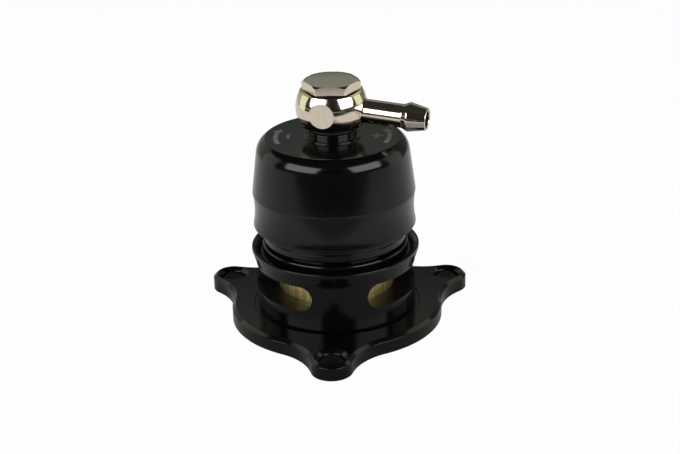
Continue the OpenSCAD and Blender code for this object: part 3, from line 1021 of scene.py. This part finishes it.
@dataclass
class ScrewCap:
    """Black cap with two grip ridges, a rounded shoulder, a stepped boss and plain turn marks on its top."""

    low_z: float = 23.4
    skirt_r: float = 19.5
    skirt_z: float = 27.5
    skirt_line_z: float = 25.65
    skirt_line: float = 0.2
    under_r: float = 21.62
    ridge_r: float = 21.85
    ridge_z: Pair = (27.8, 36.95)
    waist_depth: float = 0.5
    taper: float = 7.3
    round_r: float = 4.7
    round_end: float = 62.0
    top_z: float = 51.75
    boss_r: float = 7.5
    boss_z: float = 52.2
    step_r: float = 6.5
    step_z: float = 53.9
    bolt_r: float = 5.1
    roof_z: float = 47.55
    bore_r: float = 18.1
    mark_r: Pair = (14.5, 15.7)
    mark_half: float = 22.0
    mark_head: float = 9.0
    mark_head_half: float = 1.5
    sign_r: float = 11.7
    sign_half: float = 1.7
    sign_stroke: float = 0.4
    mark_thick: float = 0.03
    mark_steps: int = 16

    def outside(self) -> list[Corner]:
        """Lays out the outside of the cap from its lower edge to its top face.

        Returns:
            Corners of the outside.
        """
        low, high = self.ridge_z
        line = self.skirt_line_z
        half = (high - low) / 2
        waist_r = (half ** 2 + self.waist_depth ** 2) / (2 * self.waist_depth)
        waist_turn = math.degrees(math.asin(half / waist_r))
        middle = (self.ridge_r - self.waist_depth + waist_r, (low + high) / 2)
        waist = arc(middle, waist_r, 180.0 + waist_turn, 180.0 - waist_turn, steps=18, softs=(0.25, 0.5))
        slope = math.radians(self.taper)
        round_z = self.top_z - self.round_r * math.sin(math.radians(self.round_end))
        round_x = self.ridge_r - (round_z - high) * math.tan(slope) - self.round_r / math.cos(slope)
        shoulder = arc((round_x, round_z), self.round_r, self.taper, self.round_end, steps=16, softs=(0.0, 0.14))
        return [
            (self.bore_r, self.low_z, 0.25),
            (self.skirt_r, self.low_z, 0.6),
            (self.skirt_r, line - self.skirt_line, 0.04),
            (self.skirt_r - self.skirt_line, line, 0.04),
            (self.skirt_r, line + self.skirt_line, 0.04),
            (self.skirt_r, self.skirt_z, 0.2),
            (self.under_r, self.skirt_z, 0.3),
            *waist,
            *shoulder,
        ]

    def shell(self) -> None:
        """Models and dresses the cap."""
        section = [
            *self.outside(),
            (self.boss_r, self.top_z, 0.12),
            (self.boss_r, self.boss_z, 0.3),
            (self.step_r, self.boss_z, 0.1),
            (self.step_r, self.step_z, 0.25),
            (self.bolt_r, self.step_z, 0.1),
            (self.bolt_r, self.roof_z, 0.2),
            (self.bore_r, self.roof_z, 0.6),
        ]
        dress(turn("cap_shell", section), BLACK_ANODISE, Rides.CAP, "cap")

    def mark(self, name: str, outline: Sequence[Pair]) -> None:
        """Models and dresses one etched mark, sunk a little into the top face.

        Args:
            name: Name of the piece.
            outline: Points of the mark seen from above.
        """
        base = self.top_z - self.mark_thick / 2
        made = plate(name, [Vector((x, y, base)) for x, y in outline], self.mark_thick)
        dress(made, ETCHED_MARK, Rides.CAP)

    def arrow(self, side: int) -> list[Pair]:
        """Lays out a curved arrow that follows the edge of the top face and points to the back.

        Args:
            side: -1 for the left of the cap, 1 for the right.

        Returns:
            Points of the arrow.
        """
        inner, outer = self.mark_r
        middle = (inner + outer) / 2
        tail, neck, tip = -self.mark_half, self.mark_half - self.mark_head, self.mark_half
        shares = [i / self.mark_steps for i in range(self.mark_steps + 1)]
        polar = [(outer, tail + (neck - tail) * share) for share in shares]
        polar += [(middle + self.mark_head_half, neck), (middle, tip), (middle - self.mark_head_half, neck)]
        polar += [(inner, neck + (tail - neck) * share) for share in shares]
        points = [(r * math.cos(math.radians(a)), r * math.sin(math.radians(a))) for r, a in polar]
        return [(side * x, y) for x, y in points]

    def sign(self, side: int, plus: bool) -> list[Pair]:
        """Lays out a plus or a minus beside an arrow.

        Args:
            side: -1 for the left of the cap, 1 for the right.
            plus: True for a plus.

        Returns:
            Points of the sign.
        """
        half, stroke, x = self.sign_half, self.sign_stroke, side * self.sign_r
        if not plus:
            return [(x - stroke, -half), (x + stroke, -half), (x + stroke, half), (x - stroke, half)]
        arm = [(half, stroke), (stroke, stroke), (stroke, half)]
        corners: list[Pair] = []
        for turn_by in range(4):
            for px, py in arm:
                c, s = (1, 0, -1, 0)[turn_by], (0, 1, 0, -1)[turn_by]
                corners.append((x + c * px - s * py, s * px + c * py))
        return corners

    def build(self) -> None:
        """Models and dresses the cap and its four marks."""
        self.shell()
        self.mark("turn_arrow_left", self.arrow(-1))
        self.mark("turn_arrow_right", self.arrow(1))
        self.mark("minus_mark", self.sign(-1, plus=False))
        self.mark("plus_mark", self.sign(1, plus=True))


@dataclass
class SealingWasher:
    """Black bonded washer under or over the ball of the banjo fitting."""

    name: str
    node: str
    heights: Pair
    radii: Pair = (5.1, 6.3)
    soft_share: float = 0.3

    def build(self) -> None:
        """Models and dresses the washer."""
        soft = self.soft_share * (self.heights[1] - self.heights[0])
        section = ring_section(self.radii, self.heights, (0.1, soft, soft, 0.1))
        dress(turn(self.name, section, steps=96), RUBBER, Rides.CAP, self.node)


@dataclass
class BanjoFitting:
    """Polished ball with two sealing faces, two side flats and a hose barb."""

    middle_z: float = 60.1
    ball_r: float = 9.5
    half_h: float = 4.6
    half_flats: float = 8.9
    flat_break: float = 0.1
    flat_near: float = 0.01
    bore_r: float = 5.1
    barb_turn: float = -15.3
    barb_droop: float = 3.6
    root_x: float = 6.6
    fillet_r: float = 3.7
    fillet_x: Pair = (8.6, 9.1)
    shank_r: float = 3.15
    shank_end_x: float = 19.5
    ridge_x: float = 21.1
    ridge_r: float = 3.9
    tip_x: float = 26.0
    tip_r: float = 2.9
    hole_r: float = 2.3
    hole_flare: float = 0.2

    def ball(self) -> Object:
        """Turns the ball and mills its two side flats.

        Returns:
            The ball, bored through, about the origin.
        """
        edge = math.degrees(math.asin(self.half_h / self.ball_r))
        side = arc((0.0, 0.0), self.ball_r, -edge, edge, steps=56, softs=(0.12, 0.12))
        section = [(self.bore_r, -self.half_h, 0.15), *side, (self.bore_r, self.half_h, 0.15)]
        made = turn("banjo_ball", section, steps=160)
        with editing(made):
            for way in (-1.0, 1.0):
                bpy.ops.mesh.select_all(action="SELECT")
                place, facing = (0.0, way * self.half_flats, 0.0), (0.0, way, 0.0)
                bpy.ops.mesh.bisect(plane_co=place, plane_no=facing, use_fill=True, clear_outer=True)
        rim_y = self.half_flats - self.flat_near
        break_edges(made, lambda a, b: min(abs(a.y), abs(b.y)) > rim_y, self.flat_break)
        return made

    def barb(self) -> Object:
        """Turns the shank and barb, with a small fillet at the root.

        Returns:
            The solid barb along +X.
        """
        start, end = self.fillet_x
        corners: list[Corner] = [
            (0.0, self.root_x, 0.0),
            (self.fillet_r, self.root_x, 0.0),
            (self.fillet_r, start, 0.0),
            (self.shank_r, end, 0.5),
            (self.shank_r, self.shank_end_x, 0.25),
            (self.ridge_r, self.ridge_x, 0.22),
            (self.tip_r, self.tip_x, 0.18),
            (0.0, self.tip_x, 0.0),
        ]
        return turn("barb", corners, axis=ASIDE, steps=96)

    def hose_hole(self) -> Object:
        """Turns the cutter of the hole through the barb, flared at the tip.

        Returns:
            The cutter along +X.
        """
        corners: list[Corner] = [
            (0.0, 0.0, 0.0),
            (self.hole_r, 0.0, 0.0),
            (self.hole_r, self.tip_x - self.hole_flare, 0.1),
            (self.hole_r + self.hole_flare + PAST, self.tip_x + PAST, 0.0),
            (0.0, self.tip_x + PAST, 0.0),
        ]
        return turn("hose_hole", corners, axis=ASIDE, steps=64)

    def build(self) -> None:
        """Models and dresses the fitting."""
        made = self.ball()
        for tool, way in ((self.barb(), Joinery.WELD), (self.hose_hole(), Joinery.CUT)):
            set_in_place(tool, lean=self.barb_droop)
            join_with(made, tool, way)
        set_in_place(made, turned=self.barb_turn, height=self.middle_z)
        dress(made, NICKEL, Rides.BANJO, "banjo_fitting")


@dataclass
class BanjoBolt:
    """Hollow plated bolt with a low hexagon head, a waist and cross holes."""

    head_z: float = 65.1
    head_h: float = 2.3
    half_flats: float = 6.8
    top_r: float = 7.05
    slope: float = 40.0
    crown: float = 0.05
    crown_steps: int = 8
    corner_break: float = 0.3
    edge_break: float = 0.12
    shank_r: float = 5.0
    shank_rise: float = 0.5
    waist_r: float = 4.0
    low_z: float = 47.55
    middle_z: float = 60.1
    waist_half: float = 2.5
    hole_r: float = 2.0
    cross_r: float = 1.5

    def head(self) -> Object:
        """Makes the hexagon head with its corners turned off.

        Returns:
            The head in place.
        """
        depth = self.head_h + PAST
        top = self.head_z + self.head_h
        clear_selection()
        bpy.ops.mesh.primitive_cylinder_add(
            vertices=6, radius=self.half_flats / math.cos(math.pi / 6), depth=depth,
            location=(0.0, 0.0, self.head_z + depth / 2), rotation=(0.0, 0.0, math.pi / 6),
        )
        made = bpy.context.object
        made.name = "banjo_bolt_head"
        bpy.ops.object.transform_apply()
        break_edges(made, lambda a, b: (a - b).xy.length < WELD, self.corner_break)
        low = top - self.crown - depth
        wide = self.top_r + depth / math.tan(math.radians(self.slope))
        shares = [1 - i / self.crown_steps for i in range(self.crown_steps + 1)]
        dome = [(self.top_r * share, top - self.crown * share ** 2, 0.0) for share in shares]
        dome[0] = (*dome[0][:2], 0.16)
        cone = turn("corner_cone", [(0.0, low, 0.0), (wide, low, 0.0), *dome])
        join_with(made, cone, Joinery.KEEP)
        break_edges(made, lambda a, b: True, self.edge_break)
        return made

    def shank(self) -> Object:
        """Turns the hollow shank.

        Returns:
            The shank, standing a little into the head.
        """
        low, high = self.middle_z - self.waist_half, self.middle_z + self.waist_half
        blind = self.middle_z + self.cross_r
        section: list[Corner] = [
            (0.0, blind, 0.0),
            (self.hole_r, blind, 0.3),
            (self.hole_r, self.low_z, 0.2),
            (self.shank_r, self.low_z, 0.4),
            (self.shank_r, low, 0.1),
            (self.waist_r, low, 0.3),
            (self.waist_r, high, 0.3),
            (self.shank_r, high, 0.1),
            (self.shank_r, self.head_z + self.shank_rise, 0.0),
            (0.0, self.head_z + self.shank_rise, 0.0),
        ]
        return turn("bolt_shank", section, steps=96)

    def build(self) -> None:
        """Models and dresses the bolt."""
        made = self.head()
        join_with(made, self.shank(), Joinery.WELD)
        for along in (ASIDE, UP.cross(ASIDE)):
            middle = Vector((0.0, 0.0, self.middle_z))
            join_with(made, dowel("cross_hole", self.cross_r, 2 * self.shank_r, middle, along), Joinery.CUT)
        made.name = made.data.name = "banjo_screw"
        dress(made, NICKEL, Rides.CAP, "banjo_bolt")


@dataclass(frozen=True)
class PhotoCamera:
    """Camera at the photograph's place; angles in degrees, lengths in millimetres."""

    turned: float = 2.68
    elevation: float = 22.73
    distance: float = 463.1
    roll: float = -1.5
    aside: float = 1.36
    target_z: float = 25.63
    lens: float = 90.8
    sensor: float = 36.0

    def place(self) -> None:
        """Adds the camera and makes it the scene's own."""
        rise, roll = math.radians(self.elevation), math.radians(self.roll)
        back = Vector((0.0, -math.cos(rise), math.sin(rise)))
        up = Vector((0.0, math.sin(rise), math.cos(rise)))
        across = math.cos(roll) * ASIDE + math.sin(roll) * up
        upright = math.cos(roll) * up - math.sin(roll) * ASIDE
        spun = Matrix.Rotation(math.radians(self.turned), 3, "Z")
        eye = spun @ (ASIDE * self.aside + back * self.distance) + UP * self.target_z
        facing = spun @ Matrix((across, upright, back)).transposed()
        clear_selection()
        bpy.ops.object.camera_add(location=eye * MM, rotation=facing.to_euler())
        camera = bpy.context.object
        camera.data.sensor_fit = "HORIZONTAL"
        camera.data.sensor_width = self.sensor
        camera.data.lens = self.lens
        camera.data.clip_start = 0.01
        bpy.context.scene.camera = camera


@dataclass(frozen=True)
class StudioPanel:
    """Flat panel that faces the object.

    It hangs toward an azimuth and an elevation in degrees. Its width, height and distance are in metres.
    """

    name: str
    toward: Pair
    size: Pair
    distance: float

    def pose(self) -> tuple[Vector, Euler]:
        """Works out where the panel hangs.

        Returns:
            Its middle and the turn that makes its +Z side look away from the object.
        """
        a, e = map(math.radians, self.toward)
        away = Vector((math.sin(a) * math.cos(e), -math.cos(a) * math.cos(e), math.sin(e)))
        return away * self.distance, away.to_track_quat("Z", "Y").to_euler()


@dataclass(frozen=True)
class Softbox(StudioPanel):
    """Soft lamp."""

    radiance: float

    def place(self) -> None:
        """Adds the lamp, facing the object."""
        middle, turned = self.pose()
        clear_selection()
        bpy.ops.object.light_add(type="AREA", location=middle, rotation=turned)
        lamp = bpy.context.object
        lamp.name = self.name
        lamp.data.shape = "RECTANGLE"
        width, height = self.size
        lamp.data.size, lamp.data.size_y = width, height
        lamp.data.energy = self.radiance * math.pi * width * height


def mirror_only(card: Object, name: str) -> tuple[NodeTree, Node]:
    """Hides a card from all but mirror rays and gives it a glowing material.

    Args:
        card: Plane that becomes the card.
        name: Its name.

    Returns:
        Node tree of the material and the node that glows.
    """
    card.name = name
    card.visible_camera = card.visible_shadow = card.visible_diffuse = False
    made = bare_material(name)
    tree = made.node_tree
    glow = add_node(tree, "ShaderNodeEmission", {})
    fill(tree, tree.nodes["Material Output"], {"Surface": glow.outputs["Emission"]})
    card.data.materials.append(made)
    return tree, glow


@dataclass(frozen=True)
class Card(StudioPanel):
    """Card that only shapes the reflections: the camera and the light on the object pass it."""

    shade: Colour

    def place(self) -> None:
        """Adds the card, facing the object."""
        middle, turned = self.pose()
        clear_selection()
        bpy.ops.mesh.primitive_plane_add(size=1.0, location=middle, rotation=turned)
        card = bpy.context.object
        card.scale = (*self.size, 1.0)
        tree, glow = mirror_only(card, self.name)
        fill(tree, glow, {"Color": (*self.shade, 1.0)})


@dataclass(frozen=True)
class TableCard:
    """Glowing card that only mirrors see: a painted reflection of a pale table top. Lengths in metres, from the
    object's axis.

    Each step of painted shades gives a distance from the axis and how bright the painted reflection is there; the
    darker steps close to the axis are painted shadow of the object. Sideways the painted shadow ends sooner, by the
    given squeeze.
    """

    half_width: float = 0.34
    front: float = 0.21
    back: float = 0.9
    height: float = 0.0002
    reach: float = 0.25
    squeeze: float = 3.5
    # Painted shade of the reflected table top: dark near the axis as painted shadow of the object, brighter farther
    # out
    painted_shade_steps: tuple[Pair, ...] = (
        (0.03, 0.15), (0.05, 0.27), (0.12, 0.3), (0.165, 0.6), (0.2, 0.7),
    )

    def place(self) -> None:
        """Adds the glowing card, with painted shadow close to the object."""
        clear_selection()
        bpy.ops.mesh.primitive_plane_add(size=1.0, location=(0.0, (self.back - self.front) / 2, self.height))
        card = bpy.context.object
        card.scale = (2 * self.half_width, self.front + self.back, 1.0)
        bpy.ops.object.transform_apply()
        tree, glow = mirror_only(card, "painted_table_reflection")
        place = add_node(tree, "ShaderNodeTexCoord", {}).outputs["Object"]
        oval = add_node(tree, "ShaderNodeMapping", {"Vector": place, "Scale": (self.squeeze, 1.0, 1.0)})
        away = add_node(tree, "ShaderNodeVectorMath", {0: oval.outputs["Vector"]}, "LENGTH")
        share = add_node(tree, "ShaderNodeMath", {0: away.outputs["Value"], 1: self.reach}, "DIVIDE")
        ramp = add_node(tree, "ShaderNodeValToRGB", {"Fac": share.outputs["Value"]})
        steps = ramp.color_ramp.elements
        while len(steps) < len(self.painted_shade_steps):
            steps.new(1.0)
        for step, (distance, shade) in zip(steps, self.painted_shade_steps):
            step.position = distance / self.reach
            step.color = (shade, shade, shade, 1.0)
        fill(tree, glow, {"Color": ramp.outputs["Color"]})


@dataclass(frozen=True)
class Studio:
    """Pale floor, white surround, two softboxes and the cards around them."""

    floor_size: float = 8.0
    floor_z: float = -0.00005
    floor_shade: float = 0.95
    floor_glow: float = 0.97
    ambient: float = 0.14
    table: TableCard = TableCard()
    lamps: tuple[Softbox, ...] = (
        Softbox("left_softbox", toward=(-46.5, 26.5), size=(0.7, 0.47), distance=0.8, radiance=4.8),
        Softbox("right_softbox", toward=(53.5, 26.5), size=(0.64, 0.47), distance=0.8, radiance=4.8),
    )
    # Glowing cards that only mirrors see, painted reflections: dark ones for a dark room, ceiling and floor, pale
    # yellow ones for the side walls and greenish ones for the back
    cards: tuple[Card, ...] = (
        Card("front_room_card", toward=(0.0, 24.0), size=(2.6, 1.6), distance=1.0, shade=(0.015, 0.015, 0.015)),
        Card("left_room_card", toward=(-62.0, 24.0), size=(1.1, 1.6), distance=0.98, shade=(0.015, 0.015, 0.015)),
        Card("right_room_card", toward=(66.0, 24.0), size=(1.1, 1.6), distance=0.98, shade=(0.015, 0.015, 0.015)),
        Card("dark_ceiling_card", toward=(0.0, 89.0), size=(3.4, 3.4), distance=1.0, shade=(0.03, 0.03, 0.03)),
        Card("back_room_card", toward=(180.0, 14.0), size=(2.2, 0.8), distance=0.95, shade=(0.07, 0.08, 0.07)),
        Card("back_scrim_card", toward=(180.0, 38.0), size=(0.3, 0.2), distance=0.42, shade=(0.24, 0.265, 0.23)),
        Card("left_side_card", toward=(-104.0, 18.0), size=(0.16, 0.24), distance=0.3, shade=(0.94, 1.0, 0.76)),
        Card("right_side_card", toward=(104.0, 18.0), size=(0.16, 0.24), distance=0.3, shade=(0.94, 1.0, 0.76)),
        Card("left_back_card", toward=(-140.0, 10.0), size=(0.42, 0.5), distance=0.5, shade=(0.4, 0.44, 0.38)),
        Card("right_back_card", toward=(140.0, 10.0), size=(0.42, 0.5), distance=0.5, shade=(0.16, 0.18, 0.155)),
        Card("room_floor_card", toward=(0.0, 90.0), size=(1.8, 1.8), distance=0.0001, shade=(0.02, 0.02, 0.02)),
    )

    @staticmethod
    def seen_directly(tree: NodeTree) -> NodeSocket:
        """Adds nodes that tell camera, mirror and glass rays from the light that falls on the object.

        Args:
            tree: Node tree of the floor or of the surround.

        Returns:
            Socket that is 1 for camera, mirror and glass rays.
        """
        path = add_node(tree, "ShaderNodeLightPath", {}).outputs
        found = path["Is Camera Ray"]
        for ray in ("Is Glossy Ray", "Is Transmission Ray"):
            found = add_node(tree, "ShaderNodeMath", {0: found, 1: path[ray]}, "MAXIMUM").outputs["Value"]
        return found

    def surround(self) -> None:
        """Makes the world white where it is seen and softer where it lights the object."""
        world = bpy.data.worlds.new("white_surround")
        world.use_nodes = True
        bpy.context.scene.world = world
        tree = world.node_tree
        seen = self.seen_directly(tree)
        strength = add_node(tree, "ShaderNodeMapRange", {"Value": seen, "To Min": self.ambient, "To Max": 1.0})
        fill(tree, tree.nodes["Background"], {"Color": WHITE, "Strength": strength.outputs["Result"]})

    def floor(self) -> None:
        """Adds the pale floor, which keeps the object's shadow."""
        clear_selection()
        bpy.ops.mesh.primitive_plane_add(size=self.floor_size, location=(0.0, 0.0, self.floor_z))
        ground = bpy.context.object
        ground.name = "studio_floor"
        made = bare_material("pale_floor")
        tree = made.node_tree
        shade = (self.floor_shade, self.floor_shade, self.floor_shade, 1.0)
        matt = add_node(tree, "ShaderNodeBsdfDiffuse", {"Color": shade})
        glow = add_node(tree, "ShaderNodeEmission", {})
        share = add_node(tree, "ShaderNodeMath", {0: self.seen_directly(tree), 1: self.floor_glow}, "MULTIPLY")
        parts = {"Fac": share.outputs["Value"], 1: matt.outputs["BSDF"], 2: glow.outputs["Emission"]}
        mix = add_node(tree, "ShaderNodeMixShader", parts)
        fill(tree, tree.nodes["Material Output"], {"Surface": mix.outputs["Shader"]})
        ground.data.materials.append(made)

    def place(self) -> None:
        """Sets up the whole studio."""
        bpy.context.scene.view_settings.view_transform = "Standard"
        self.surround()
        self.floor()
        for item in (*self.lamps, *self.cards, self.table):
            item.place()


def main() -> None:
    """Builds the valve piece by piece and sets up the studio and the camera."""
    logging.basicConfig(level=logging.INFO, format="%(message)s")
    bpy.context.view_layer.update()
    lower = SealingWasher("ball_washer", "lower_washer", heights=(53.9, 55.5))
    upper = SealingWasher("head_washer", "upper_washer", heights=(64.7, 65.1))
    below = (MountingFlange(), ValveBody(), PistonSet(), ReturnSpring(), ScrewCap())
    for assembly in (*below, lower, upper, BanjoFitting(), BanjoBolt()):
        assembly.build()
    for name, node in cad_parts.items():
        if not node.hide_render:
            log.warning("%s still shows its CAD solid", name)
    Studio().place()
    PhotoCamera().place()


if __name__ == "__main__":
    main()
